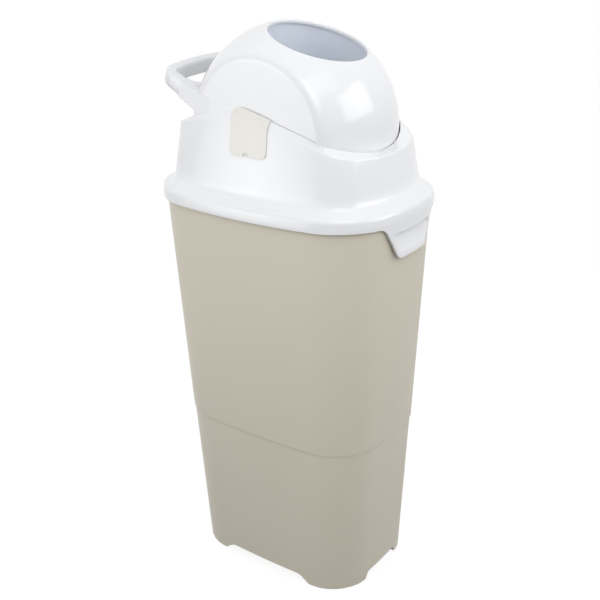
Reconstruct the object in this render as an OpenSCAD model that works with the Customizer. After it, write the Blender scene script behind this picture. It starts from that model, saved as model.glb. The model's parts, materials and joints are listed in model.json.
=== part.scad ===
// Nappy bin. A tapered bin carries a head that is hinged at the back.
// A ball-shaped drum hangs on its cross axle in the head. Swinging the
// handle over turns the drum, and a loose weighted piston inside it slides
// down and pushes the nappy out into the bin.
// Millimetres, +Z up. The origin is on the floor under the middle of the bin.
// +X is the front, with the pull tab, and the drum's axle runs along Y.

/* [Bin] */
// Length of the bin where the head's skirt ends
bin_top_length = 322; // [312:1:332]
// Width of the bin where the head's skirt ends
bin_top_width = 223.4; // [216:0.2:232]
// Corner radius at the top
bin_top_radius = 43; // [34:1:50]
// Length of the bin on the floor
bin_base_length = 257; // [240:1:280]
// Width of the bin on the floor
bin_base_width = 179; // [168:1:195]
// Corner radius on the floor
bin_base_radius = 48; // [36:1:56]
// Height of the lower edge of the head's skirt
skirt_height = 500; // [440:1:560]
// Height of the neck above that edge
neck_rise = 11.5; // [9:0.5:12]
// How far the neck steps in from the wall
neck_inset = 4; // [3:0.2:5]
// Wall of the bin
bin_wall = 2.6; // [2:0.1:3.4]
// Height of the step line around the bin
step_height = 208.6; // [150:0.2:300]
// Depth of that step
step_depth = 1.3; // [0.6:0.1:2]
// Height of the gaps between the feet
foot_height = 12; // [8:0.5:16]
// Clear length of the gap on each long side
foot_gap_long = 104; // [80:1:120]
// Length of the curved end of that gap
foot_curve_long = 24; // [14:1:26]
// Clear length of the gap on each short side
foot_gap_short = 58; // [44:1:64]
// Length of the curved end of that gap
foot_curve_short = 10; // [6:1:14]

/* [Head] */
// Wall of the head
head_wall = 2.6; // [2:0.1:3]
// Gap between the skirt and the bin
skirt_gap = 1.5; // [1:0.1:2.5]
// Height of the axle above the skirt's edge
axle_rise = 87; // [80:1:94]
// How far the axle lies in front of the bin's middle
axle_offset = 3; // [0:0.5:5]
// Height of the collar's foot above the skirt's edge
collar_foot = 34; // [30:0.5:38]
// Ledge beyond the drum at the front and the back
ledge_end = 11.1; // [9:0.1:14]
// Ledge beyond the drum's cheeks
ledge_side = 10; // [8.5:0.1:12]
// Corner radius of the collar
collar_radius = 17; // [12:1:24]
// Draft of the collar's wall, sideways per height
collar_draft = 0.145; // [0.1:0.005:0.18]
// Height of the collar's rim above the axle, at its highest point
ridge_rise = 25.3; // [23:0.1:27]
// Fall of the rim towards the front
ridge_fall_front = 0.295; // [0.27:0.005:0.32]
// Fall of the rim towards the back
ridge_fall_back = 0.225; // [0.2:0.005:0.25]
// Rounding of the rim's highest point
ridge_round = 10; // [6:1:20]
// Rise of the ledge from the rim up to the drum
ledge_rise = 6.5; // [5:0.1:7.5]

/* [Pull tab] */
// Width of the tab where it leaves the skirt
tab_top_width = 104; // [96:1:112]
// Width of the tab at its lower corners
tab_low_width = 57; // [52:1:66]
// Length of the tab below the skirt
tab_drop = 41; // [38:0.5:46]
// Width of the finger pocket
pocket_width = 74; // [60:1:76]
// Depth of the finger pocket
pocket_depth = 6; // [4.5:0.1:6.2]

/* [Hinge] */
// Radius of the hinge pins
hinge_pin_radius = 2.5; // [2:0.1:3]
// Distance of the hinge axis behind the skirt
hinge_standoff = 2.4; // [2:0.1:4]
// Distance of each hinge from the middle
hinge_spread = 26; // [22:1:30]

/* [Drum] */
// Radius of the ball
drum_radius = 121; // [118:0.5:123]
// Half of the drum's width over its flat cheeks
drum_cheek = 80; // [78:0.5:83]
// Radius between cheek and ball
drum_edge = 16; // [10:1:20]
// Wall of the drum
drum_wall = 2.5; // [2:0.1:3]
// Angle of the drum at rest
drum_tilt = 18; // [12:1:24]
// Gap between the drum and the head's ledge
drum_gap = 1.2; // [0.9:0.1:1.6]
// Radius of the two round mouths
mouth_radius = 57.5; // [54:0.5:58]
// Rounding of the mouth's edge
mouth_edge = 2; // [1.5:0.5:4]
// Bore of the chute inside the drum
chute_radius = 60; // [59.5:0.1:61]
// Wall of the chute
chute_wall = 2; // [1.5:0.1:2.5]
// Radius of the stub axles
journal_radius = 9.5; // [8:0.5:10.5]
// Running clearance of the stub axles in their bushes
journal_clearance = 0.06; // [0.03:0.01:0.09]

/* [Handle] */
// Reach of the handle from the axle
handle_reach = 156.5; // [152:0.5:160]
// Width of the handle's arms
arm_width = 12.5; // [11:0.5:14]
// Thickness of the grip bar
grip_width = 13; // [11:0.5:15]

/* [Piston] */
// Length of the piston
piston_length = 84; // [70:1:100]
// Gap between the piston and the chute
piston_gap = 0.7; // [0.5:0.1:1]
// Wall of the piston
piston_wall = 2.2; // [1.8:0.1:3]
// Radius of the weight inside the piston
weight_radius = 36; // [28:1:44]
// Thickness of that weight
weight_thickness = 12; // [8:1:16]

/* [Axle caps] */
// Width of the caps over the axle slots
cap_width = 51; // [44:1:60]
// How far the caps reach below the axle
cap_drop = 18.4; // [17:0.2:24]
// Thickness of the caps
cap_wall = 1.5; // [1.2:0.1:2]
// Wall of the bushes around the stub axles
bush_wall = 3.4; // [2.6:0.1:4]

/* [Hidden] */
$fn = 64;

top_bulge = 0.159;
base_bulge = 0.049;
collar_bulge = 0.174;
corner_steps = 7;
long_steps = 18;
short_steps = 6;
fine = 0.3;
slack = 0.15;
eps = 0.01;
far = 400;

// Sections are [half length, half width, corner radius, bulge of the sides].
skirt_section = [
    bin_top_length / 2 + skirt_gap + head_wall,
    bin_top_width / 2 + skirt_gap + head_wall,
    bin_top_radius,
    top_bulge
];
axle_z = skirt_height + axle_rise;
axle_x = axle_offset;
collar_foot_z = skirt_height + collar_foot;
neck_top = skirt_height + neck_rise;
floor_z = foot_height + bin_wall;
ridge_x = axle_x - 16;
ridge_z = axle_z + ridge_rise;
hinge_x = -skirt_section[0] - hinge_standoff;
hinge_z = skirt_height - 5.5;
hinge_wall = 2.1;
seal_z = skirt_height + 36;
bush_radius = journal_radius + journal_clearance + bush_wall;
bush_bore = journal_radius + journal_clearance;
mouth_seat = sqrt(pow(drum_radius - mouth_edge, 2) - pow(mouth_radius + mouth_edge, 2)) - 2;
piston_radius = chute_radius - piston_gap;
piston_foot = -mouth_seat + fine;
piston_head = piston_foot + piston_length;

beige = [0.76, 0.73, 0.66];
white = [0.94, 0.94, 0.95];
cap_grey = [0.90, 0.90, 0.86];
inner_grey = [0.80, 0.82, 0.86];
rubber_grey = [0.32, 0.33, 0.35];
steel = [0.62, 0.63, 0.65];

// ---------- outlines and lofts ----------

function mix(a, b, t) = a + (b - a) * t;
function inset(s, d) = [s[0] - d, s[1] - d, max(s[2] - d, 1), s[3]];
function arc(cx, cy, r, from, to, n) =
    [for (i = [0:n]) let (a = mix(from, to, i / n)) [cx + r * cos(a), cy + r * sin(a)]];

// One key per point of an outline: centre factors and direction of its corner arc.
function corner_keys(sx, sy, from) =
    [for (i = [0:corner_steps]) let (a = from + 90 * i / corner_steps) [sx, sy, cos(a), sin(a)]];
function long_keys(sy) =
    [for (i = [1:long_steps]) [sy * (1 - 2 * i / (long_steps + 1)), sy, 0, sy]];
function short_keys(sx) =
    [for (i = [1:short_steps]) [sx, sx * (2 * i / (short_steps + 1) - 1), sx, 0]];
keys = concat(
    corner_keys(1, 1, 0), long_keys(1),
    corner_keys(-1, 1, 90), short_keys(-1),
    corner_keys(-1, -1, 180), long_keys(-1),
    corner_keys(1, -1, 270), short_keys(1)
);

// Point of a section's outline: a rounded rectangle whose sides bow outwards.
function outline_point(s, key) =
    let (
        a = s[0] / (1 + s[3]),
        b = s[1] / (1 + s[3]),
        x = key[0] * (a - s[2]) + key[2] * s[2],
        y = key[1] * (b - s[2]) + key[3] * s[2]
    )
    [x * (1 + s[3] * (1 - pow(y / b, 2))), y * (1 + s[3] * (1 - pow(x / a, 2)))];
function flat_outline(s) = [for (k = keys) outline_point(s, k)];
function ring(s, z) = [for (k = keys) let (p = outline_point(s, k)) [p[0], p[1], z]];

// Skin over rings of equal length, joined into a tube that is closed or capped.
module loft(rings, closed = false) {
    n = len(rings[0]);
    m = len(rings);
    last = closed ? m - 1 : m - 2;
    sides = [
        for (j = [0:last], i = [0:n - 1])
            let (
                a = j * n + i,
                b = j * n + (i + 1) % n,
                c = ((j + 1) % m) * n + (i + 1) % n,
                d = ((j + 1) % m) * n + i
            )
            each [[a, d, c], [a, c, b]]
    ];
    // Each end is filled by a strip of triangles between the two halves of its ring.
    strip = [for (i = [0:n / 2 - 2]) each [[i, i + 1, n - 2 - i], [i, n - 2 - i, n - 1 - i]]];
    top = (m - 1) * n;
    caps = closed ? [] : concat(strip, [for (f = strip) [top + f[2], top + f[1], top + f[0]]]);
    polyhedron(points = [for (r = rings) each r], faces = concat(sides, caps), convexity = 8);
}

// Polygon whose corners are rounded: each corner is [x, y, radius].
function unit(v) = v / norm(v);
function rounded(corners, n = 5) = [
    for (i = [0:len(corners) - 1])
        let (
            m = len(corners),
            p = [corners[i][0], corners[i][1]],
            q = corners[(i + m - 1) % m],
            s = corners[(i + 1) % m],
            u = unit([q[0], q[1]] - p),
            v = unit([s[0], s[1]] - p),
            half = acos(max(-1, min(1, u * v))) / 2,
            r = corners[i][2],
            c = p + unit(u + v) * r / sin(half),
            from = atan2((p + u * r / tan(half) - c)[1], (p + u * r / tan(half) - c)[0]),
            to = atan2((p + v * r / tan(half) - c)[1], (p + v * r / tan(half) - c)[0]),
            turn = to - from > 180 ? to - from - 360 : to - from < -180 ? to - from + 360 : to - from
        )
        each (r == 0 ? [p] : arc(c[0], c[1], r, from, from + turn, n))
];

// Extrudes an outline drawn in x and z along Y, from one y to the other.
module along_y(from, to) {
    translate([0, to, 0]) rotate([90, 0, 0]) linear_extrude(height = to - from) children();
}
// Extrudes an outline drawn in y and z along X, from one x to the other.
module along_x(from, to) {
    translate([from, 0, 0]) rotate([90, 0, 90]) linear_extrude(height = to - from) children();
}
module bar_y(x, z, r, from, to) {
    translate([x, to, z]) rotate([90, 0, 0]) cylinder(r = r, h = to - from);
}
module both_sides() {
    children();
    mirror([0, 1, 0]) children();
}

// ---------- sections of the bin and the head ----------

function bin_section(z, d = 0) =
    let (
        t = min(z / skirt_height, 1),
        drop = z < step_height ? step_depth : 0
    )
    inset([
        mix(bin_base_length / 2, bin_top_length / 2, t),
        mix(bin_base_width / 2, bin_top_width / 2, t),
        mix(bin_base_radius, bin_top_radius, t),
        mix(base_bulge, top_bulge, t)
    ], d + drop);

collar_axle_section = [
    drum_radius + drum_gap + axle_x + ledge_end,
    drum_cheek + drum_gap + ledge_side,
    collar_radius,
    collar_bulge
];
function collar_section(z, d = 0) =
    let (grow = collar_draft * (axle_z - z))
    inset(collar_axle_section + [grow, grow, 0, 0], d);
// Section between the skirt (0) and the foot of the collar (1).
function shoulder_section(t, d = 0) = inset(mix(skirt_section, collar_section(collar_foot_z), t), d);

// A line in x and z that falls from a rounded top to both ends.
function roof(x, top, front, back, r) =
    let (
        u = x - ridge_x,
        fall = u > 0 ? front : back
    )
    top - fall * (sqrt(u * u + r * r) - r);
// Height of the collar's rim, and of the ledge where it meets the drum.
function ridge(x) = roof(x, ridge_z, ridge_fall_front, ridge_fall_back, ridge_round);
front_dip = 0.004;
front_dip_start = 72;
function ledge_top(x) =
    roof(x, ridge_z + ledge_rise, ridge_fall_front * 0.91, ridge_fall_back * 1.13, ridge_round * 0.6)
        - front_dip * pow(max(0, x - axle_x - front_dip_start), 2);
function collar_ring(d, lift) = [
    for (k = keys)
        let (
            near = outline_point(collar_axle_section, k),
            z = ridge(near[0]) + lift,
            p = outline_point(collar_section(z, d), k)
        )
        [p[0], p[1], z]
];

// Half width of the room around the drum at a distance from its axle, g away from
// the drum. Its edge is fuller than the drum's, so straight steps keep clear too.
edge_reserve = 3;
function drum_half_width(dist, g = 0) =
    let (
        r = drum_radius + g,
        e = drum_edge + g - edge_reserve,
        yc = drum_cheek + g - e,
        dc = sqrt(pow(r - e, 2) - yc * yc)
    )
    dist < dc ? drum_cheek + g
        : dist < dc * r / (r - e) ? yc + sqrt(max(0, e * e - pow(dist - dc, 2)))
        : sqrt(max(0, r * r - dist * dist));
// Reach of the grown drum in one direction of the plan: halves the interval 20 times.
function drum_reach(dir, g, z, lift, lo = 40, hi = 150, n = 20) =
    let (
        mid = (lo + hi) / 2,
        x = mid * cos(dir),
        h = (z > 0 ? z : ledge_top(axle_x + x) + lift) - axle_z,
        inside = abs(mid * sin(dir)) < drum_half_width(sqrt(x * x + h * h), g)
    )
    n == 0 ? mid : drum_reach(dir, g, z, lift, inside ? mid : lo, inside ? hi : mid, n - 1);
function drum_directions() = [
    for (k = keys) let (p = outline_point(collar_axle_section, k)) atan2(p[1], p[0] - axle_x)
];
directions = drum_directions();
// Outline around the drum that follows the ledge.
function drum_ring(g, lift) = [
    for (a = directions)
        let (
            reach = drum_reach(a, g, 0, lift),
            x = axle_x + reach * cos(a)
        )
        [x, reach * sin(a), ledge_top(x) + lift]
];
// Outline around the drum at one height.
function drum_outline(g, z) = [
    for (a = directions)
        let (reach = drum_reach(a, g, z, 0))
        [axle_x + reach * cos(a), reach * sin(a)]
];

// ---------- bin ----------

// Gap between two feet: flat on top, with S-curved ends down to the floor.
function foot_gap_outline(clear, curve) =
    let (half = clear / 2, n = 8)
    concat(
        [[-half - curve, -1]],
        [for (i = [0:n]) [-half - curve + curve * i / n, foot_height * (1 - cos(180 * i / n)) / 2]],
        [for (i = [n:-1:0]) [half + curve - curve * i / n, foot_height * (1 - cos(180 * i / n)) / 2]],
        [[half + curve, -1]]
    );

module bin_shell() {
    d = bin_wall;
    foot_edge = 1.5;
    neck_z = skirt_height - 2;
    inner_step = 3;
    loft([
        ring(bin_section(0, foot_edge), 0),
        ring(bin_section(foot_edge, 0), foot_edge),
        ring(bin_section(step_height - eps), step_height - eps),
        ring(bin_section(step_height + 0.5), step_height + 0.5),
        ring(bin_section(neck_z), neck_z),
        ring(bin_section(neck_z, neck_inset), neck_z + 0.8),
        ring(bin_section(neck_top, neck_inset), neck_top - 0.8),
        ring(bin_section(neck_top, neck_inset + 0.8), neck_top),
        ring(bin_section(neck_top, neck_inset + d - 0.8), neck_top),
        ring(bin_section(neck_top, neck_inset + d), neck_top - 0.8),
        ring(bin_section(neck_z, neck_inset + d), neck_z - inner_step),
        ring(bin_section(neck_z, d), neck_z - inner_step - neck_inset),
        ring(bin_section(step_height + inner_step, d), step_height + inner_step),
        ring(bin_section(step_height - inner_step, d), step_height - inner_step),
        ring(bin_section(floor_z, d), floor_z)
    ]);
}

// Set-back panel in the front wall, which makes room for the finger pocket.
recess_half = pocket_width / 2 + 5.5;
recess_low = skirt_height - tab_drop + 13;
recess_flare = [10, 17];
module recess_outline(grow) {
    half = recess_half + grow;
    low = recess_low - grow;
    polygon(rounded([
        [-half + recess_flare[0], low, 4],
        [half - recess_flare[0], low, 4],
        [half, low + recess_flare[1], 8],
        [half, neck_top - 3, 0],
        [-half, neck_top - 3, 0],
        [-half, low + recess_flare[1], 8]
    ]));
}
module bin_band(outer, inner, low, high) {
    loft([
        ring(bin_section(low, outer), low),
        ring(bin_section(high, outer), high),
        ring(bin_section(high, inner), high),
        ring(bin_section(low, inner), low)
    ], closed = true);
}

module bin_ear_outline() {
    wall_x = -bin_section(hinge_z)[0] + bin_wall + 1;
    difference() {
        union() {
            translate([hinge_x, hinge_z]) circle(r = hinge_pin_radius + hinge_wall);
            polygon([
                [hinge_x - 3.6, hinge_z - 2.9],
                [wall_x, hinge_z - 20],
                [wall_x, hinge_z + 1.2],
                [hinge_x, hinge_z + 1.2]
            ]);
        }
        translate([hinge_x, hinge_z]) circle(r = hinge_pin_radius + 0.02);
    }
}
knuckle_width = 13;
ear_width = 4;

module bin_body() {
    low = recess_low - 8;
    high = skirt_height - 1;
    color(beige) difference() {
        union() {
            bin_shell();
            intersection() {
                bin_band(bin_wall - 0.5, neck_inset + bin_wall, low, high);
                along_x(0, far) recess_outline(bin_wall);
            }
            both_sides() for (side = [-1, 1])
                translate([0, side * (knuckle_width + ear_width + fine * 2) / 2, 0])
                    along_y(hinge_spread - ear_width / 2, hinge_spread + ear_width / 2) bin_ear_outline();
        }
        intersection() {
            bin_band(-3, neck_inset, low, high + 2);
            along_x(0, far) recess_outline(0);
        }
        along_y(-far, far) polygon(foot_gap_outline(foot_gap_long, foot_curve_long));
        along_x(-far, far) polygon(foot_gap_outline(foot_gap_short, foot_curve_short));
        for (sx = [-1, 1], sy = [-1, 1]) foot_well(sx, sy);
    }
}

// Hollow of one foot, open to the inside of the bin.
module foot_well(sx, sy) {
    x = foot_gap_long / 2 + foot_curve_long + bin_wall;
    y = foot_gap_short / 2 + foot_curve_short + bin_wall;
    intersection() {
        loft([
            ring(bin_section(bin_wall, bin_wall + 1), bin_wall),
            ring(bin_section(floor_z, bin_wall), floor_z + 1)
        ]);
        translate([sx > 0 ? x : -x - 100, sy > 0 ? y : -y - 100, 0]) cube(100);
    }
}

module hinge_pins() {
    length = knuckle_width + 2 * (ear_width + fine);
    color(steel) both_sides() {
        bar_y(hinge_x, hinge_z, hinge_pin_radius, hinge_spread - length / 2, hinge_spread + length / 2);
    }
}

// ---------- head ----------

// Shoulder from the skirt (share 0) in to the collar's foot (share 1), as
// [share, rise above the skirt's edge, part of the wall by which the inside steps in].
shoulder_profile = [
    [0, 0, 1],
    [0.015, 10.5, 1],
    [0.06, 13.6, 1],
    [0.16, 15.6, 0.8],
    [0.3, 16.6, 0.6],
    [0.62, 19.2, 0.6],
    [0.82, 22, 1],
    [0.94, 26.5, 1],
    [1, collar_foot, 1]
];
// Height of the shoulder's inside above the skirt's edge.
function ceiling_rise(p) = p[1] - head_wall * (1 - p[2] * p[2] * 0.3);
shoulder_span = max(
    skirt_section[0] - collar_section(collar_foot_z)[0],
    skirt_section[1] - collar_section(collar_foot_z)[1]
);
// The same height at a distance d inside the skirt, taken along the wider flank.
function ceiling_at(d, i = 3) =
    let (
        p = shoulder_profile[i],
        q = shoulder_profile[i + 1],
        from = p[0] * shoulder_span + p[2] * head_wall,
        to = q[0] * shoulder_span + q[2] * head_wall
    )
    d < to || i > 5 ? mix(ceiling_rise(p), ceiling_rise(q), (d - from) / (to - from))
        : ceiling_at(d, i + 1);

module cover_shell() {
    w = head_wall;
    s = skirt_height;
    inside = [for (i = [6:-1:2]) shoulder_profile[i]];
    loft(concat(
        [for (p = shoulder_profile) ring(shoulder_section(p[0]), s + p[1])],
        [
            collar_ring(0, -1.6),
            collar_ring(0.3, -0.4),
            collar_ring(0.9, 0.4),
            drum_ring(drum_gap + 0.7, -0.2),
            drum_ring(drum_gap, -1),
            drum_ring(drum_gap, -3.2),
            drum_ring(drum_gap + 0.5, -3.8),
            collar_ring(w - 0.4, -w - 0.6)
        ],
        [ring(shoulder_section(1, w), collar_foot_z - 1)],
        [for (p = inside) ring(shoulder_section(p[0], w * p[2]), s + ceiling_rise(p))],
        [
            ring(shoulder_section(0, w + 0.2), s + shoulder_profile[1][1] - 1.5),
            ring(shoulder_section(0, w), s)
        ]
    ), closed = true);
}

tab_low = skirt_height - tab_drop;
tab_flare = 17;
module tab_outline() {
    top = skirt_height + eps;
    reach = tab_top_width / 2 + tab_flare;
    polygon(rounded([
        [-reach, top + 4, 0],
        [-reach, top, 0],
        [-tab_top_width / 2, top, tab_flare],
        [-tab_low_width / 2, tab_low, 9],
        [tab_low_width / 2, tab_low, 9],
        [tab_top_width / 2, top, tab_flare],
        [reach, top, 0],
        [reach, top + 4, 0]
    ], 7));
}
module skirt_band(outer, inner, low, high) {
    loft([
        ring(inset(skirt_section, outer), low),
        ring(inset(skirt_section, outer), high),
        ring(inset(skirt_section, inner), high),
        ring(inset(skirt_section, inner), low)
    ], closed = true);
}

// Finger pocket: a bowl that is deep under its upper edge and runs out over the lip.
// Across it, [part of the depth, part of the height].
scoop_profile = [
    [0, 0], [0.2, 0.1], [0.42, 0.25], [0.63, 0.43],
    [0.81, 0.63], [0.94, 0.82], [1, 0.94], [0.98, 1]
];
scoop_top = skirt_height - 9.5;
scoop_low = tab_low + 5.5;
scoop_steps = 14;
tab_lean = tab_drop / (tab_top_width - tab_low_width) * 2;
pocket_wall = 1.6;
module scoop(grow) {
    half = pocket_width / 2 + grow;
    a = skirt_section[0] / (1 + skirt_section[3]);
    b = skirt_section[1] / (1 + skirt_section[3]);
    loft([
        for (j = [0:scoop_steps])
            let (
                at = mix(-90, 90, j / scoop_steps),
                y = half * sin(at),
                x = a * (1 + skirt_section[3] * (1 - pow(y / b, 2))),
                deep = 0.3 + grow + (pocket_depth - 0.3) * pow(cos(at), 0.7),
                side_low = skirt_height - (tab_top_width / 2 - 4.5 + grow - abs(y)) * tab_lean,
                low = max(scoop_low - grow, side_low),
                top = scoop_top + grow
            )
            concat(
                [for (p = scoop_profile) [x - mix(grow, deep, p[0]), y, mix(low, top, p[1])]],
                [[x + 3, y, top], [x + 3, y, low]]
            )
    ]);
}
module pull_tab() {
    intersection() {
        skirt_band(0, head_wall, tab_low - 4, skirt_height + 4);
        along_x(0, far) tab_outline();
    }
    intersection() {
        scoop(pocket_wall);
        skirt_band(1, pocket_depth + 2 * pocket_wall, tab_low, skirt_height);
    }
}

// Cradle of one bush, inside the long side of the collar.
boss_radius = bush_radius + 4;
slot_radius = bush_radius + 0.08;
module bush_cradle() {
    inner = drum_cheek + drum_gap;
    top = ridge(axle_x + boss_radius) - head_wall;
    low_z = axle_z - 2 * boss_radius;
    intersection() {
        union() {
            bar_y(axle_x, axle_z, boss_radius, inner, inner + 3 * ledge_side);
            translate([axle_x - boss_radius, inner, axle_z])
                cube([2 * boss_radius, 3 * ledge_side, top - axle_z]);
        }
        loft([
            ring(collar_section(low_z, 0.5), low_z),
            ring(collar_section(ridge_z, 0.5), ridge_z)
        ]);
    }
}
module bush_slot() {
    inner = drum_cheek - 2;
    outer = collar_section(axle_z)[1] + 3;
    bar_y(axle_x, axle_z, slot_radius, inner, outer);
    translate([axle_x - slot_radius, inner, axle_z]) cube([2 * slot_radius, outer - inner, 2 * ridge_rise]);
}

screw_x = collar_axle_section[0] - 29.3;
screw_y = collar_axle_section[1] - 19.2;
screw_boss = 3.8;
module at_screws() {
    for (sx = [-1, 1], sy = [-1, 1]) translate([sx * screw_x, sy * screw_y, 0]) children();
}

module hinge_knuckle_outline() {
    wall_x = -skirt_section[0] + 2;
    difference() {
        union() {
            translate([hinge_x, hinge_z]) circle(r = hinge_pin_radius + hinge_wall);
            polygon([
                [hinge_x - 4.3, hinge_z + 1.6],
                [hinge_x - 3.2, hinge_z + 10],
                [wall_x, hinge_z + 19],
                [wall_x, hinge_z + 4],
                [hinge_x + 3.4, hinge_z + 3]
            ]);
        }
        translate([hinge_x, hinge_z]) circle(r = hinge_pin_radius + 0.06);
    }
}

module head_cover() {
    color(white) difference() {
        union() {
            cover_shell();
            pull_tab();
            both_sides() {
                bush_cradle();
                along_y(hinge_spread - knuckle_width / 2, hinge_spread + knuckle_width / 2)
                    hinge_knuckle_outline();
            }
            at_screws() translate([0, 0, seal_z]) cylinder(r = screw_boss, h = ridge(screw_x) - seal_z + 1);
        }
        scoop(0);
        both_sides() bush_slot();
        at_screws() translate([0, 0, seal_z - 1]) cylinder(r = 1.4, h = 19);
    }
}

frame_thickness = 3;
module seal_frame() {
    color(white) translate([0, 0, seal_z - frame_thickness]) difference() {
        linear_extrude(height = frame_thickness)
            polygon(flat_outline(collar_section(seal_z, head_wall + 0.5)));
        translate([0, 0, -1]) linear_extrude(height = frame_thickness + 2)
            polygon(drum_outline(3, seal_z));
        at_screws() translate([0, 0, -1]) cylinder(r = 1.9, h = frame_thickness + 2);
    }
}
module drum_seal() {
    color(rubber_grey) translate([0, 0, seal_z + eps]) linear_extrude(height = 2) difference() {
        polygon(drum_outline(10, seal_z));
        polygon(drum_outline(1, seal_z + 2));
    }
}
module frame_screws() {
    head = 2;
    color(steel) at_screws() translate([0, 0, seal_z - frame_thickness - head]) {
        cylinder(r = 3.2, h = head - eps);
        cylinder(r = 1.35, h = head + frame_thickness + 14);
    }
}

// Foam ring between the neck of the bin and the inside of the shoulder.
module rim_gasket() {
    outer = neck_inset + skirt_gap + head_wall - 0.5;
    inner = outer + bin_wall + 1;
    low = neck_top + fine;
    color(rubber_grey) loft([
        ring(inset(skirt_section, outer), low),
        ring(inset(skirt_section, outer), skirt_height + ceiling_at(outer) - fine),
        ring(inset(skirt_section, inner), skirt_height + ceiling_at(inner) - 2 * fine),
        ring(inset(skirt_section, inner), low)
    ], closed = true);
}

// ---------- axle caps and bushes ----------

function collar_side(x, z) =
    let (
        s = collar_section(z),
        a = s[0] / (1 + s[3]),
        b = s[1] / (1 + s[3])
    )
    b * (1 + s[3] * (1 - pow(x / a, 2)));
// Cross section of the cap at x: up the wall, over the rim and up the ledge to the drum.
cap_fit = 0.14;
function cap_loop(x) =
    let (
        t = cap_wall,
        low = axle_z - cap_drop - 8,
        rim = ridge(x),
        ledge = ledge_top(x),
        wall_rim = collar_side(x, rim),
        wall_low = collar_side(x, low),
        lip = drum_cheek + drum_gap + 1
    )
    [
        [x, wall_low + t, low],
        [x, wall_rim + t, rim - 0.8],
        [x, wall_rim + t * 0.95, rim],
        [x, wall_rim + t * 0.6, rim + 0.7],
        [x, lip, ledge + t - 0.3],
        [x, lip, ledge - 0.05],
        [x, wall_rim - 0.9, rim + 0.85],
        [x, wall_rim - 0.1, rim - 0.05],
        [x, wall_rim + cap_fit + 0.1, rim - 1.6],
        [x, wall_low + cap_fit, low]
    ];
module pivot_cap() {
    half = cap_width / 2;
    low = axle_z - cap_drop;
    high = ridge_z + 20;
    steps = 12;
    tongue = slot_radius - 0.15;
    thumb_radius = 4.5;
    thumb_depth = cap_wall * 0.6;
    color(cap_grey) {
        difference() {
            intersection() {
                loft([for (i = [0:steps]) cap_loop(axle_x - half + cap_width * i / steps)]);
                along_y(0, far) polygon(rounded([
                    [axle_x - half, low, 6],
                    [axle_x + half, low, 6],
                    [axle_x + half, high, 0],
                    [axle_x - half, high, 0]
                ]));
            }
            bar_y(axle_x - 2, low, thumb_radius, collar_side(axle_x, low) + cap_wall - thumb_depth, far);
        }
        difference() {
            translate([axle_x - tongue, drum_cheek + drum_gap + 0.2, axle_z])
                cube([2 * tongue, collar_side(axle_x, axle_z) - drum_cheek - drum_gap, ridge_rise - 4]);
            bar_y(axle_x, axle_z, bush_radius + 0.1, 0, far);
            intersection() {
                translate([axle_x - 50, 0, axle_z - 50]) cube([100, far, 100]);
                loft([
                    ring(collar_section(axle_z - 60, -40), axle_z - 60),
                    ring(collar_section(axle_z + 60, -40), axle_z + 60),
                    ring(collar_section(axle_z + 60, -0.3), axle_z + 60),
                    ring(collar_section(axle_z - 60, -0.3), axle_z - 60)
                ], closed = true);
            }
        }
    }
}
module pivot_bush() {
    from = drum_cheek + fine;
    to = collar_side(axle_x + bush_radius, axle_z + bush_radius) - 0.4;
    color(inner_grey) difference() {
        bar_y(axle_x, axle_z, bush_radius, from, to);
        bar_y(axle_x, axle_z, bush_bore, 0, far);
    }
}

// ---------- drum ----------

// Puts what is drawn around the drum's own axes in its place at rest:
// the chute runs along local z and the handle points to local -x.
module in_drum() {
    translate([axle_x, 0, axle_z]) rotate([0, drum_tilt, 0]) children();
}

// The drum without its mouths: a ball whose sides are cut to rounded edges and flat cheeks.
module drum_body(shrink) {
    r = drum_radius - shrink;
    e = drum_edge - shrink;
    cheek = drum_cheek - shrink;
    yc = cheek - e;
    dc = sqrt(pow(r - e, 2) - yc * yc);
    edge_at = atan2(yc, dc);
    n = 6;
    edge = arc(dc, yc, e, 90, edge_at, n);
    past = edge[n] + unit(edge[n] - edge[n - 1]) * 2 * e;
    side = concat([for (i = [0:n - 1]) edge[i]], [past, [r + 3 * e, 0]]);
    intersection() {
        sphere(r = r, $fn = 96);
        rotate([90, 0, 0]) rotate_extrude($fn = 96) polygon(concat(
            [[0, cheek]],
            side,
            [for (i = [len(side) - 2:-1:0]) [side[i][0], -side[i][1]]],
            [[0, -cheek]]
        ));
    }
}

// Region above a mouth that is cut away, with the rounded edge of the mouth.
module mouth_cut() {
    rc = mouth_radius + mouth_edge;
    zc = mouth_seat + 2;
    open_at = atan2(zc, rc);
    rotate_extrude($fn = 96) polygon(concat(
        [[0, mouth_seat - 20], [mouth_radius, mouth_seat - 20]],
        arc(rc, zc, mouth_edge, 180, open_at, 8),
        [[rc + mouth_edge, drum_radius + 20], [0, drum_radius + 20]]
    ));
}
module mouth_band() {
    outer = chute_radius + chute_wall + slack + 2.5;
    difference() {
        translate([0, 0, mouth_seat - 8]) cylinder(r = outer, h = 40, $fn = 96);
        translate([0, 0, mouth_seat - 9]) cylinder(r = chute_radius + chute_wall + slack, h = 9, $fn = 96);
    }
}

// Saddle that holds the flange of a stub axle against the cheek.
flange_radius = journal_radius + 7.5;
flange_thickness = 3.4;
module saddle() {
    top = drum_cheek - drum_wall + 0.5;
    flange_top = drum_cheek - drum_wall;
    flange_low = flange_top - flange_thickness - 0.4;
    difference() {
        bar_y(0, 0, flange_radius + 3, flange_low - 2.6, top);
        bar_y(0, 0, flange_radius + slack, flange_low, flange_top);
        bar_y(0, 0, journal_radius + 1.5, flange_low - 5, top + 1);
    }
}

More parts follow.
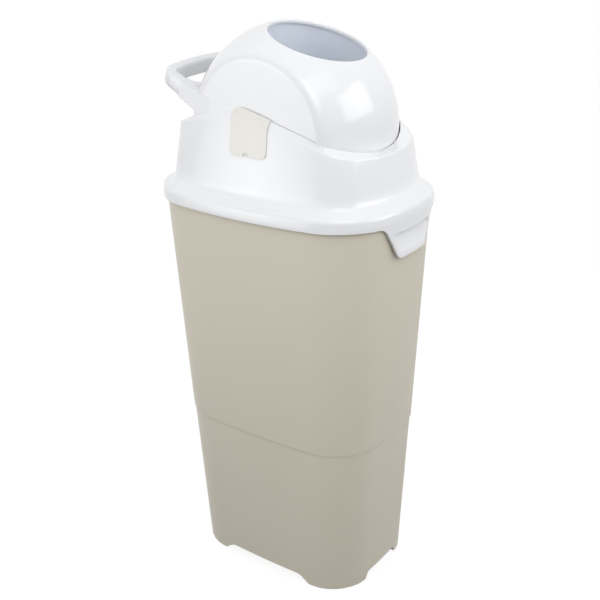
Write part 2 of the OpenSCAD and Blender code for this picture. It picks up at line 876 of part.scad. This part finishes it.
module drum_whole() {
    difference() {
        union() {
            difference() {
                drum_body(0);
                drum_body(drum_wall);
            }
            for (turn = [0, 180]) rotate([turn, 0, 0]) intersection() {
                mouth_band();
                drum_body(eps);
            }
            both_sides() intersection() {
                saddle();
                drum_body(eps);
            }
        }
        for (turn = [0, 180]) rotate([turn, 0, 0]) mouth_cut();
        rotate([90, 0, 0]) cylinder(r = journal_radius + slack, h = 2 * far, center = true);
        both_sides() handle_root(slack);
    }
}

module upper_half(gap) {
    translate([-far / 2, -far / 2, gap]) cube([far, far, far / 2]);
}
module drum_upper_shell() {
    color(white) in_drum() intersection() {
        drum_whole();
        upper_half(0.05);
    }
}
module drum_lower_shell() {
    lap = 4;
    color(white) in_drum() union() {
        intersection() {
            drum_whole();
            mirror([0, 0, 1]) upper_half(0.05);
        }
        for (side = [-1, 1]) intersection() {
            difference() {
                drum_body(drum_wall - 0.4);
                drum_body(drum_wall + 1.6);
            }
            translate([side > 0 ? 0 : -far, -50, -2 * lap]) cube([far, 100, 2 * lap]);
        }
        for (side = [-1, 1]) intersection() {
            difference() {
                drum_body(drum_wall + slack);
                drum_body(drum_wall + 1.6);
            }
            translate([side > 0 ? 0 : -far, -50, -lap]) cube([far, 100, 2 * lap]);
        }
    }
}

// Upper and lower edge of the handle's arm at local x. The lower edge levels out at the grip.
root_x = -0.595 * drum_radius;
root_top = 14;
root_low = -11.2;
grip_inner = handle_reach - grip_width;
function arm_top(x) = root_top + (root_x - x) * 0.13;
function arm_low(x) = root_low + (root_x - max(x, 6 - grip_inner)) * 0.225;
root_head = 8;
web_height = 11;
arm_outer = drum_cheek;
arm_inner = drum_cheek - arm_width;

// Root of one arm, trapped between the half shells.
module handle_root(grow) {
    reach = -root_x + 45;
    g = grow;
    along_y(arm_inner - g, arm_outer + (g > 0 ? 1 : 0)) polygon([
        [root_x + g, arm_low(root_x) - g],
        [root_x + g, arm_top(root_x) + g],
        [-reach, arm_top(-reach) + g],
        [-reach, arm_low(-reach) - g]
    ]);
    along_y(arm_inner - g, arm_outer - drum_wall - 1 + g) polygon([
        [root_x + g, arm_low(root_x) - 3 - g],
        [root_x + g, arm_top(root_x) + 3 + g],
        [root_x - root_head - g, arm_top(root_x) + 3 + g],
        [root_x - root_head - g, arm_low(root_x) - 3 - g]
    ]);
}

// Middle line of the handle in plan, from one arm's root to the other's.
grip_bow = 5;
bend_radius = 12;
function handle_line() =
    let (
        y = (arm_outer + arm_inner) / 2,
        x = -handle_reach + grip_width / 2,
        corner = x + grip_bow,
        arm = [for (i = [0:5]) [mix(root_x - 20, corner + bend_radius, i / 5), y]],
        bend = arc(corner + bend_radius, y - bend_radius, bend_radius, 90, 180, 6),
        half = y - bend_radius,
        grip = [
            for (i = [1:9])
                let (v = half * (1 - i / 5))
                [x + grip_bow * pow(v / half, 2), v]
        ]
    )
    concat(
        arm,
        bend,
        grip,
        [for (i = [6:-1:0]) [bend[i][0], -bend[i][1]]],
        [for (i = [5:-1:0]) [arm[i][0], -arm[i][1]]]
    );
// Rounded rectangle across the handle, in steps of a superellipse.
function handle_rings() =
    let (
        line = handle_line(),
        n = len(line),
        m = 16
    )
    [
        for (i = [0:n - 1])
            let (
                p = line[i],
                a = line[max(0, i - 1)],
                b = line[min(n - 1, i + 1)],
                dir = unit(b - a),
                side = [-dir[1], dir[0]],
                at_grip = min(1, max(0, (-p[0] - grip_inner + 14) / 12)),
                half_width = mix(arm_width, grip_width, at_grip) / 2,
                top = arm_top(p[0]),
                low = arm_low(p[0])
            )
            [
                for (j = [0:m - 1])
                    let (
                        c = cos(360 * (j + 0.5) / m),
                        s = sin(360 * (j + 0.5) / m),
                        u = sign(c) * pow(abs(c), 0.45) * half_width,
                        v = sign(s) * pow(abs(s), 0.45)
                    )
                    [
                        p[0] + side[0] * u,
                        p[1] + side[1] * u,
                        (top + low) / 2 + v * (top - low) / 2
                    ]
            ]
    ];
// Web in the corner between an arm and the ball, level with the arm's upper edge.
module handle_web() {
    root = drum_radius - 30;
    tip = drum_radius - 6;
    top = arm_top(-tip);
    difference() {
        translate([0, 0, top - web_height]) linear_extrude(height = web_height - 0.6) polygon([
            [-root, arm_inner + 1],
            [-tip, arm_inner + 1],
            [4 - tip, arm_inner - 2],
            [8 - tip, arm_inner - 5],
            [11 - tip, arm_inner - 10],
            [-root, arm_inner - 13]
        ]);
        sphere(r = drum_radius + 0.2, $fn = 96);
    }
}
module drum_handle() {
    color(white) in_drum() union() {
        loft(handle_rings());
        both_sides() {
            handle_root(0);
            handle_web();
        }
    }
}

module chute_tube() {
    half = mouth_seat - 0.1;
    color(inner_grey) in_drum() difference() {
        translate([0, 0, -half]) cylinder(r = chute_radius + chute_wall, h = 2 * half, $fn = 96);
        translate([0, 0, -half - 1]) cylinder(r = chute_radius, h = 2 * half + 2, $fn = 96);
    }
}

module trunnion() {
    flange_top = drum_cheek - drum_wall - 0.15;
    end = collar_side(axle_x + journal_radius, axle_z + journal_radius) - 0.8;
    color(inner_grey) in_drum() difference() {
        union() {
            bar_y(0, 0, flange_radius, flange_top - flange_thickness, flange_top);
            bar_y(0, 0, journal_radius, flange_top - 1, end - 1);
            bar_y(0, 0, journal_radius - 1, end - 2, end);
        }
        bar_y(0, 0, journal_radius - 3.5, 0, end - 2.5);
    }
}

// ---------- piston ----------

ring_height = 3;
ring_depth = 1.6;
lid_height = 3;
function ring_places() = [piston_foot + 8, piston_head - lid_height - 12];
module disc(r, from, to) {
    translate([0, 0, from]) cylinder(r = r, h = to - from, $fn = 96);
}
module ring_of(outer, inner, from, to) {
    difference() {
        disc(outer, from, to);
        disc(inner, from - 1, to + 1);
    }
}
module piston_cup() {
    top = piston_head - lid_height - 0.05;
    post = 6;
    color(inner_grey) in_drum() difference() {
        union() {
            difference() {
                disc(piston_radius, piston_foot + 3, top);
                disc(piston_radius - piston_wall - ring_depth, piston_foot + piston_wall, top + 1);
            }
            translate([0, 0, piston_foot])
                cylinder(r1 = piston_radius - 3, r2 = piston_radius, h = 3, $fn = 96);
            disc(post, piston_foot + 1, top - 6);
        }
        for (z = ring_places()) ring_of(piston_radius + 1, piston_radius - ring_depth, z, z + ring_height);
        disc(1.4, piston_foot + 30, top);
    }
}
module piston_lid() {
    low = piston_head - lid_height;
    spigot = piston_radius - piston_wall - ring_depth - 0.1;
    color(inner_grey) in_drum() difference() {
        union() {
            disc(piston_radius, low, low + 0.6);
            translate([0, 0, low + 0.5])
                cylinder(r1 = piston_radius, r2 = piston_radius - 2.5, h = lid_height - 0.5, $fn = 96);
            ring_of(spigot, spigot - 2, low - 6, low + 1);
            disc(6, low - 5.5, low + 1);
        }
        disc(1.9, low - 20, low + 20);
        translate([0, 0, piston_head - 1.9]) cylinder(r1 = 1.9, r2 = 3.8, h = 1.91);
    }
}
module piston_weight() {
    low = piston_foot + 3 + eps;
    color(steel) in_drum() difference() {
        disc(weight_radius, low, low + weight_thickness);
        disc(6.2, low - 1, low + weight_thickness + 1);
    }
}
module piston_rings() {
    color(rubber_grey) in_drum() for (z = ring_places())
        ring_of(chute_radius - 0.25, piston_radius - ring_depth + 0.05, z + 0.1, z + ring_height - 0.1);
}
module piston_screw() {
    color(steel) in_drum() {
        translate([0, 0, piston_head - 1.95]) cylinder(r1 = 1.75, r2 = 3.5, h = 1.75);
        disc(1.35, piston_head - 24, piston_head - 1);
    }
}

bin_body();
hinge_pins();
head_cover();
seal_frame();
drum_seal();
rim_gasket();
frame_screws();
pivot_cap();  // pivot_cap_left
mirror([0, 1, 0]) pivot_cap();  // pivot_cap_right
pivot_bush();  // pivot_bush_left
mirror([0, 1, 0]) pivot_bush();  // pivot_bush_right
drum_upper_shell();
drum_lower_shell();
drum_handle();
chute_tube();
trunnion();  // trunnion_left
mirror([0, 1, 0]) trunnion();  // trunnion_right
piston_cup();
piston_lid();
piston_weight();
piston_rings();
piston_screw();
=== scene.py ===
"""Looks of a nappy bin: smooth outer skins, moulded plastic finishes and a plain studio.

Sizes are in metres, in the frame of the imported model: +Z up, +X to the front with the pull tab.
"""

import json
import math

import bmesh
import bpy
from bpy.props import FloatProperty, FloatVectorProperty, PointerProperty
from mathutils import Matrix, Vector


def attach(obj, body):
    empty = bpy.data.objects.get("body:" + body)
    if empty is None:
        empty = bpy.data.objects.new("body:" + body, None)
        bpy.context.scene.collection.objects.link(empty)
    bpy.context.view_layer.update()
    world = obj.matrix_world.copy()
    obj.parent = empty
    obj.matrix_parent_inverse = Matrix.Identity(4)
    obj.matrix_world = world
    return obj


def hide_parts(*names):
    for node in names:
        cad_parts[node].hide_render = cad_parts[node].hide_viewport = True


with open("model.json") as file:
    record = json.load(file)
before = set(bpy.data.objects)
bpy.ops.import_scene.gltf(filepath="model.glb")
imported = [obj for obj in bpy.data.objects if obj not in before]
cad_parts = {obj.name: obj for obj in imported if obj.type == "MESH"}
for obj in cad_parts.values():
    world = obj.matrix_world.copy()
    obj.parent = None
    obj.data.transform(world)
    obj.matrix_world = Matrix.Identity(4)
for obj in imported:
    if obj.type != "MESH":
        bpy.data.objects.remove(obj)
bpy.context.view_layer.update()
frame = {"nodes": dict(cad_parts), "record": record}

bl_info = {
    "name": "Nappy bin looks",
    "version": (1, 0, 0),
    "blender": (4, 5, 0),
    "location": "View3D > Sidebar > Nappy bin",
    "description": "Skins, finishes and studio for a flip-drum nappy bin",
    "category": "Object",
}

# The step line around the bin: foot and top of its slope, its depth, the height that its round
# edge is struck from, and the angles at which rings are cut around that edge.
STEP_LOW, STEP_HIGH, STEP_DEPTH = 0.2086, 0.2091, 0.0013
ROUND_CENTRE = STEP_LOW + STEP_DEPTH + 0.0001
ROUND_ANGLES = (20, 40, 56, 70, 84)

# Rings above and below the step that keep the wall's shading straight.
SUPPORT_RINGS = (ROUND_CENTRE + 0.0004, ROUND_CENTRE + 0.003, STEP_LOW - 0.0006, STEP_LOW - 0.003)

# Height of the two front screw posts in the head, the middle of the arc that reaches the ledge,
# as distances to the front and to the side, and the reach of that arc.
POST_TOP = 0.580727
POST_RIM = Vector((0.1098, 0.0735))
RIM_REACH = 0.0035

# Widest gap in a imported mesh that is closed, shortest edge that is kept, distance at which a cut
# takes the corner it passes, and slack when a corner's height is compared.
WELD_GAP, SHORTEST_EDGE, CUT_SNAP, LEVEL_SLACK = 1e-6, 1e-7, 1e-7, 1e-5

# Middle of the grain's heights.
GRAIN_MIDDLE = 0.9

PLASTIC_IOR = 1.5
COAT_ROUGHNESS = 0.06

# Strength of the world's even light on the object, glow of the floor where it is seen directly,
# and half the floor's width.
WORLD_LEVEL = 0.64
FLOOR_GLOW = 0.88
FLOOR_REACH = 9

# Soft boxes: place, the point that each is aimed at, its size, its share of the lamp power, the
# angle of its cone in degrees, and whether it is seen in reflections.
LAMPS = {
    "left": ((-0.85, -1.3, 0.66), (0, -0.05, 0.68), (1.35, 1.0), 1.0, 56, True),
    "right": ((1.38, 0.51, 1.18), (0.1, 0, 0.7), (1.15, 0.75), 1.25, 90, True),
    "front": ((0.82, -0.85, 1.62), (0, 0, 0.66), (1.0, 1.0), 0.7, 60, True),
    "high": ((1.0, -0.13, 1.84), (0, 0, 0.66), (0.7, 0.7), 0.12, 60, True),
    "left_fill": ((-0.75, -1.2, 1.35), (0, 0, 0.62), (1.2, 1.0), 0.3, 50, False),
    "right_fill": ((1.5, -0.35, 0.9), (0, 0, 0.62), (1.0, 1.0), 0.34, 50, False),
}

CAMERA_PLACE = (0.68462, -0.92405, 0.85256)
CAMERA_TURN = (66.808, 1.209, 35.927)
SENSOR_WIDTH = 36


# ---------- settings ----------


def colour(name, description, default):
    return FloatVectorProperty(
        name=name, description=description, default=default, subtype="COLOR", min=0, max=1
    )


class NappyBinColours(bpy.types.PropertyGroup):
    """Colours of the plastics, rubber and steel."""

    bin: colour("Bin", "Satin plastic of the bin", (0.70, 0.652, 0.542))
    head: colour("Head", "Glossy plastic of the head and the drum", (0.82, 0.828, 0.85))
    handle: colour("Handle", "Glossy plastic of the handle", (0.80, 0.808, 0.83))
    cap: colour("Caps", "Plastic of the clip-on axle caps", (0.76, 0.745, 0.69))
    # The inner parts are white plastic: this blue-grey, a little darker than the head's white, is
    # painted shade of the chute's inside.
    inner: colour("Inner parts", "Plastic of the chute, piston and bushes", (0.74, 0.78, 0.85))
    rubber: colour("Rubber", "Seals and piston rings", (0.075, 0.08, 0.09))
    steel: colour("Steel", "Screws, hinge pins and the weight", (0.6, 0.6, 0.62))
    floor: colour("Floor", "Studio floor", (0.2, 0.2, 0.2))


class NappyBinSizes(bpy.types.PropertyGroup):
    """Sizes of the skins and of the studio."""

    crease_angle: FloatProperty(
        name="Crease angle",
        description="Edges sharper than this stay sharp",
        default=math.radians(32),
        subtype="ANGLE",
    )
    grain_depth: FloatProperty(
        name="Grain depth",
        description="Depth of the grain moulded into the bin",
        default=0.00012,
        unit="LENGTH",
        precision=6,
    )
    lens: FloatProperty(
        name="Lens", description="Focal length for a 36 mm sensor", default=58.89, unit="CAMERA"
    )
    lamp_power: FloatProperty(
        name="Lamp power", description="Power of the main soft box", default=1.28, unit="POWER"
    )


def settings():
    scene = bpy.context.scene
    return scene.nappy_bin_sizes, scene.nappy_bin_colours


# ---------- shared shader groups ----------


def new_group(name, inputs, outputs):
    """Empty node group with float, colour or vector sockets."""
    group = bpy.data.node_groups.new(name, "ShaderNodeTree")
    kinds = {"float": "NodeSocketFloat", "colour": "NodeSocketColor", "vector": "NodeSocketVector"}
    for socket, kind, value in inputs:
        made = group.interface.new_socket(socket, in_out="INPUT", socket_type=kinds[kind])
        if value is not None:
            made.default_value = value
    for socket, kind in outputs:
        group.interface.new_socket(socket, in_out="OUTPUT", socket_type=kinds[kind])
    return group, group.nodes.new("NodeGroupInput"), group.nodes.new("NodeGroupOutput")


def node(tree, kind, links=(), **values):
    """Adds a node, sets its properties and links sockets into it."""
    made = tree.nodes.new(kind)
    for key, value in values.items():
        setattr(made, key, value)
    for target, source in links:
        if hasattr(source, "is_output"):
            tree.links.new(source, made.inputs[target])
        else:
            made.inputs[target].default_value = source
    return made


def grain_group():
    """Fine spark-eroded grain: a height and a mask that breaks up the gloss."""
    group, inp, out = new_group(
        "moulded_grain",
        [("Vector", "vector", None), ("Scale", "float", 900.0)],
        [("Height", "float"), ("Mask", "float")],
    )
    fine = node(
        group, "ShaderNodeTexNoise",
        [("Vector", inp.outputs["Vector"]), ("Scale", inp.outputs["Scale"]), ("Detail", 3.0)],
    )
    cells = node(
        group, "ShaderNodeTexVoronoi",
        [("Vector", inp.outputs["Vector"]), ("Scale", inp.outputs["Scale"])],
        feature="SMOOTH_F1",
    )
    height = node(
        group, "ShaderNodeMath",
        [(0, fine.outputs["Fac"]), (1, cells.outputs["Distance"])], operation="ADD",
    )
    centred = node(
        group, "ShaderNodeMath",
        [(0, height.outputs[0]), (1, GRAIN_MIDDLE)], operation="SUBTRACT",
    )
    mask = node(
        group, "ShaderNodeMath",
        [(0, centred.outputs[0]), (1, 0.5), (2, 0.5)],
        operation="MULTIPLY_ADD", use_clamp=True,
    )
    group.links.new(height.outputs[0], out.inputs["Height"])
    group.links.new(mask.outputs[0], out.inputs["Mask"])
    return group


def flow_group():
    """Slow shade changes from the melt's flow, and faint wiping marks."""
    group, inp, out = new_group(
        "melt_flow",
        [
            ("Vector", "vector", None), ("Colour", "colour", None),
            ("Scale", "float", 6.0), ("Amount", "float", 0.04),
        ],
        [("Colour", "colour"), ("Marks", "float")],
    )
    clouds = node(
        group, "ShaderNodeTexNoise",
        [("Vector", inp.outputs["Vector"]), ("Scale", inp.outputs["Scale"]), ("Detail", 4.0)],
    )
    span = node(
        group, "ShaderNodeMath",
        [(0, clouds.outputs["Fac"]), (1, 0.5)], operation="SUBTRACT",
    )
    shade = node(
        group, "ShaderNodeMath",
        [(0, span.outputs[0]), (1, inp.outputs["Amount"]), (2, 1.0)], operation="MULTIPLY_ADD",
    )
    tint = node(
        group, "ShaderNodeVectorMath",
        [(0, inp.outputs["Colour"])], operation="SCALE",
    )
    group.links.new(shade.outputs[0], tint.inputs["Scale"])
    streaks = node(
        group, "ShaderNodeTexNoise",
        [("Scale", 22.0), ("Detail", 5.0), ("Roughness", 0.65), ("Distortion", 0.8)],
    )
    stretch = node(
        group, "ShaderNodeVectorMath",
        [(0, inp.outputs["Vector"]), (1, (1.0, 1.0, 0.35))], operation="MULTIPLY",
    )
    group.links.new(stretch.outputs[0], streaks.inputs["Vector"])
    marks = node(
        group, "ShaderNodeMapRange",
        [("Value", streaks.outputs["Fac"]), ("From Min", 0.42), ("From Max", 0.72)],
        clamp=True,
    )
    group.links.new(tint.outputs[0], out.inputs["Colour"])
    group.links.new(marks.outputs[0], out.inputs["Marks"])
    return group


# ---------- materials ----------


def moulded(name, base, gloss, grain_scale, grain_depth, flow, coat=0.0):
    """Moulded plastic: flow in the colour, grain and wiping marks in the gloss."""
    material = bpy.data.materials.new(name)
    material.use_nodes = True
    tree = material.node_tree
    shader = tree.nodes["Principled BSDF"]
    place = node(tree, "ShaderNodeTexCoord").outputs["Object"]
    flow_node = node(tree, "ShaderNodeGroup", node_tree=bpy.data.node_groups["melt_flow"])
    flow_node.inputs["Colour"].default_value = (*base, 1)
    flow_node.inputs["Amount"].default_value = flow
    tree.links.new(place, flow_node.inputs["Vector"])
    grain = node(tree, "ShaderNodeGroup", node_tree=bpy.data.node_groups["moulded_grain"])
    grain.inputs["Scale"].default_value = grain_scale
    tree.links.new(place, grain.inputs["Vector"])
    blend = node(
        tree, "ShaderNodeMath",
        [(0, grain.outputs["Mask"]), (1, flow_node.outputs["Marks"])], operation="MULTIPLY",
    )
    rough = node(
        tree, "ShaderNodeMapRange",
        [("Value", blend.outputs[0]), ("To Min", gloss[0]), ("To Max", gloss[1])],
    )
    bump = node(
        tree, "ShaderNodeBump",
        [("Height", grain.outputs["Height"]), ("Distance", grain_depth), ("Strength", 1.0)],
    )
    tree.links.new(flow_node.outputs["Colour"], shader.inputs["Base Color"])
    tree.links.new(rough.outputs[0], shader.inputs["Roughness"])
    tree.links.new(bump.outputs[0], shader.inputs["Normal"])
    shader.inputs["IOR"].default_value = PLASTIC_IOR
    shader.inputs["Coat Weight"].default_value = coat
    shader.inputs["Coat Roughness"].default_value = COAT_ROUGHNESS
    return material


def plated(name, base):
    """Zinc-plated steel with fine turning marks."""
    material = moulded(
        name, base, gloss=(0.22, 0.42), grain_scale=1400.0, grain_depth=0.00002, flow=0.12
    )
    material.node_tree.nodes["Principled BSDF"].inputs["Metallic"].default_value = 1.0
    return material


def make_materials():
    sizes, colours = settings()
    grain_group()
    flow_group()
    moulded(
        "bin_satin", colours.bin, gloss=(0.42, 0.56),
        grain_scale=1500.0, grain_depth=sizes.grain_depth, flow=0.05,
    )
    moulded(
        "head_gloss", colours.head, gloss=(0.13, 0.22),
        grain_scale=60.0, grain_depth=0.00004, flow=0.015, coat=0.3,
    )
    moulded(
        "handle_gloss", colours.handle, gloss=(0.16, 0.28),
        grain_scale=80.0, grain_depth=0.00004, flow=0.02, coat=0.2,
    )
    moulded(
        "cap_gloss", colours.cap, gloss=(0.2, 0.32),
        grain_scale=500.0, grain_depth=0.00002, flow=0.03,
    )
    # Satin finish whose blue-grey colour is painted shade on white plastic.
    moulded(
        "inner_satin_painted_shade", colours.inner, gloss=(0.34, 0.48),
        grain_scale=1200.0, grain_depth=0.00004, flow=0.04,
    )
    moulded(
        "seal_rubber", colours.rubber, gloss=(0.6, 0.8),
        grain_scale=1800.0, grain_depth=0.00008, flow=0.1,
    )
    plated("plated_steel", colours.steel)


FINISH = {
    "bin_plastic": "bin_satin",
    "head_plastic": "head_gloss",
    "handle_plastic": "handle_gloss",
    "cap_plastic": "cap_gloss",
    "inner_plastic": "inner_satin_painted_shade",
    "seal_rubber": "seal_rubber",
    "steel": "plated_steel",
}


def finish(obj, slot):
    """Gives an object the material of one of the record's slots."""
    obj.data.materials.clear()
    obj.data.materials.append(bpy.data.materials[FINISH[slot]])


def slot_of(name):
    for part in frame["record"]["subparts"]:
        if part["node"] == name:
            return part["material_slot"]
    raise KeyError(name)


# ---------- mesh helpers ----------


def new_piece(name, bm, body, slot, replaced=()):
    """Turns a bmesh into a smooth-shaded piece that rides on a body."""
    sizes, _ = settings()
    for face in bm.faces:
        face.smooth = True
    for edge in bm.edges:
        if len(edge.link_faces) == 2:
            edge.smooth = edge.calc_face_angle(0) < sizes.crease_angle
    mesh = bpy.data.meshes.new(name)
    bm.to_mesh(mesh)
    bm.free()
    piece = bpy.data.objects.new(name, mesh)
    bpy.context.scene.collection.objects.link(piece)
    finish(piece, slot)
    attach(piece, body)
    if replaced:
        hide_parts(*replaced)
    return piece


def merged_copy(name):
    """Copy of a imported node's mesh with its loose triangles joined up."""
    bm = bmesh.new()
    bm.from_mesh(frame["nodes"][name].data)
    bmesh.ops.remove_doubles(bm, verts=bm.verts, dist=WELD_GAP)
    bmesh.ops.dissolve_degenerate(bm, edges=bm.edges, dist=SHORTEST_EDGE)
    return bm


def round_step(bm):
    """Rounds the overhanging edge of the step line around the bin."""
    rings = [ROUND_CENTRE - STEP_DEPTH * math.sin(math.radians(a)) for a in ROUND_ANGLES]
    for level in (*rings, *SUPPORT_RINGS):
        bmesh.ops.bisect_plane(
            bm, geom=bm.verts[:] + bm.edges[:] + bm.faces[:], dist=CUT_SNAP,
            plane_co=(0, 0, level), plane_no=(0, 0, 1),
        )
    bm.normal_update()
    moves = []
    for vert in bm.verts:
        out = Vector((vert.normal.x, vert.normal.y, 0))
        if STEP_LOW + LEVEL_SLACK < vert.co.z < ROUND_CENTRE and out.dot(vert.co) > 0:
            round_in = STEP_DEPTH - math.sqrt(STEP_DEPTH**2 - (ROUND_CENTRE - vert.co.z) ** 2)
            step_in = STEP_DEPTH * max(STEP_HIGH - vert.co.z, 0) / (STEP_HIGH - STEP_LOW)
            moves.append((vert, out.normalized() * (step_in - round_in)))
    for vert, move in moves:
        vert.co += move


def trim_posts(bm):
    """Takes off the rims of the front screw posts, which stand a hair above the ledge."""
    rims = [
        vert for vert in bm.verts
        if abs(vert.co.z - POST_TOP) < LEVEL_SLACK
        and (Vector((vert.co.x, abs(vert.co.y))) - POST_RIM).length < RIM_REACH
    ]
    bmesh.ops.dissolve_verts(bm, verts=rims)
    bmesh.ops.triangulate(bm, faces=[face for face in bm.faces if len(face.verts) > 4])


def body_name(name):
    for body, members in frame["record"]["behaviour"]["bodies"].items():
        if name in members:
            return body
    raise KeyError(name)


def skin(name, piece_name, shape=None):
    """Merged copy of a node, shaped further where a function is given, in the node's place."""
    bm = merged_copy(name)
    if shape:
        shape(bm)
    return new_piece(piece_name, bm, body_name(name), slot_of(name), (name,))


# ---------- operators ----------


class NAPPYBIN_OT_bin(bpy.types.Operator):
    """Adds the skin of the bin"""

    bl_idname = "nappybin.add_bin"
    bl_label = "Bin"

    def execute(self, context):
        skin("bin_body", "bin_wall", round_step)
        return {"FINISHED"}


class NAPPYBIN_OT_head(bpy.types.Operator):
    """Adds the skin of the head and its axle caps"""

    bl_idname = "nappybin.add_head"
    bl_label = "Head"

    def execute(self, context):
        skin("head_cover", "head_shell", trim_posts)
        skin("pivot_cap_left", "axle_cap_left")
        skin("pivot_cap_right", "axle_cap_right")
        return {"FINISHED"}


class NAPPYBIN_OT_drum(bpy.types.Operator):
    """Adds the skins of the drum and the handle"""

    bl_idname = "nappybin.add_drum"
    bl_label = "Drum"

    def execute(self, context):
        skin("drum_upper_shell", "drum_upper")
        skin("drum_lower_shell", "drum_lower")
        skin("drum_handle", "swing_handle")
        skin("chute_tube", "chute")
        return {"FINISHED"}


class NAPPYBIN_OT_inner(bpy.types.Operator):
    """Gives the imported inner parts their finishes"""

    bl_idname = "nappybin.finish_inner"
    bl_label = "Inner parts"

    def execute(self, context):
        for name, obj in frame["nodes"].items():
            finish(obj, slot_of(name))
        return {"FINISHED"}


def soft_box(name, place, target, size, power, spread):
    """Area lamp aimed at a point, its light kept within a cone of so many degrees."""
    lamp = bpy.data.lights.new(name, "AREA")
    lamp.shape = "RECTANGLE"
    lamp.size, lamp.size_y = size
    lamp.energy = power
    lamp.spread = math.radians(spread)
    obj = bpy.data.objects.new(name, lamp)
    obj.location = place
    obj.rotation_euler = (Vector(target) - Vector(place)).to_track_quat("-Z", "Y").to_euler()
    bpy.context.scene.collection.objects.link(obj)
    return obj


def seen_directly(tree):
    """1 for camera, glossy and transmission rays."""
    path = node(tree, "ShaderNodeLightPath")
    both = node(
        tree, "ShaderNodeMath",
        [(0, path.outputs["Is Camera Ray"]), (1, path.outputs["Is Glossy Ray"])],
        operation="MAXIMUM",
    )
    return node(
        tree, "ShaderNodeMath",
        [(0, both.outputs[0]), (1, path.outputs["Is Transmission Ray"])], operation="MAXIMUM",
    ).outputs[0]


def make_world():
    """White where it is seen directly, and a plain even light on the object."""
    world = bpy.data.worlds.new("studio")
    bpy.context.scene.world = world
    world.use_nodes = True
    tree = world.node_tree
    tree.nodes.clear()
    plain = node(tree, "ShaderNodeBackground", [("Color", (1, 1, 1, 1)), ("Strength", WORLD_LEVEL)])
    white = node(tree, "ShaderNodeBackground", [("Color", (1, 1, 1, 1)), ("Strength", 1.0)])
    mix = node(
        tree, "ShaderNodeMixShader",
        [(0, seen_directly(tree)), (1, plain.outputs[0]), (2, white.outputs[0])],
    )
    out = node(tree, "ShaderNodeOutputWorld")
    tree.links.new(mix.outputs[0], out.inputs["Surface"])


def make_floor(tone):
    """Paper that glows white where it is seen directly, and still takes the object's shadow."""
    bm = bmesh.new()
    bmesh.ops.create_grid(bm, x_segments=1, y_segments=1, size=FLOOR_REACH)
    mesh = bpy.data.meshes.new("floor")
    bm.to_mesh(mesh)
    bm.free()
    floor = bpy.data.objects.new("floor", mesh)
    bpy.context.scene.collection.objects.link(floor)
    material = bpy.data.materials.new("floor_paper")
    material.use_nodes = True
    tree = material.node_tree
    tree.nodes.clear()
    paper = node(tree, "ShaderNodeBsdfDiffuse", [("Color", (*tone, 1))])
    lift = node(tree, "ShaderNodeEmission", [("Color", (1, 1, 1, 1)), ("Strength", FLOOR_GLOW)])
    both = node(tree, "ShaderNodeAddShader", [(0, paper.outputs[0]), (1, lift.outputs[0])])
    mix = node(
        tree, "ShaderNodeMixShader",
        [(0, seen_directly(tree)), (1, paper.outputs[0]), (2, both.outputs[0])],
    )
    out = node(tree, "ShaderNodeOutputMaterial")
    tree.links.new(mix.outputs[0], out.inputs["Surface"])
    mesh.materials.append(material)


class NAPPYBIN_OT_stage(bpy.types.Operator):
    """Adds the floor, the lamps, the world and the camera"""

    bl_idname = "nappybin.add_stage"
    bl_label = "Studio"

    def execute(self, context):
        sizes, colours = settings()
        make_world()
        make_floor(tuple(colours.floor))
        for name, (place, target, size, share, spread, seen) in LAMPS.items():
            box = soft_box(name, place, target, size, sizes.lamp_power * share, spread)
            box.visible_glossy = seen
        data = bpy.data.cameras.new("camera")
        data.sensor_width = SENSOR_WIDTH
        data.lens = sizes.lens
        camera = bpy.data.objects.new("camera", data)
        camera.location = CAMERA_PLACE
        camera.rotation_euler = [math.radians(angle) for angle in CAMERA_TURN]
        context.scene.collection.objects.link(camera)
        context.scene.camera = camera
        context.scene.view_settings.view_transform = "Standard"
        return {"FINISHED"}


class NAPPYBIN_PT_panel(bpy.types.Panel):
    """Lists the steps and their settings"""

    bl_label = "Nappy bin"
    bl_idname = "NAPPYBIN_PT_panel"
    bl_space_type = "VIEW_3D"
    bl_region_type = "UI"
    bl_category = "Nappy bin"

    def draw(self, context):
        for step in STEPS:
            self.layout.operator(step.bl_idname)
        for group in settings():
            for key in group.bl_rna.properties.keys():
                if key not in ("rna_type", "name"):
                    self.layout.prop(group, key)


STEPS = (NAPPYBIN_OT_bin, NAPPYBIN_OT_head, NAPPYBIN_OT_drum, NAPPYBIN_OT_inner, NAPPYBIN_OT_stage)
CLASSES = (NappyBinColours, NappyBinSizes, *STEPS, NAPPYBIN_PT_panel)


def register():
    for cls in CLASSES:
        bpy.utils.register_class(cls)
    bpy.types.Scene.nappy_bin_sizes = PointerProperty(type=NappyBinSizes)
    bpy.types.Scene.nappy_bin_colours = PointerProperty(type=NappyBinColours)


def unregister():
    del bpy.types.Scene.nappy_bin_sizes
    del bpy.types.Scene.nappy_bin_colours
    for cls in reversed(CLASSES):
        bpy.utils.unregister_class(cls)


def main():
    register()
    make_materials()
    bpy.ops.nappybin.add_bin()
    bpy.ops.nappybin.add_head()
    bpy.ops.nappybin.add_drum()
    bpy.ops.nappybin.finish_inner()
    bpy.ops.nappybin.add_stage()


if __name__ == "__main__":
    main()
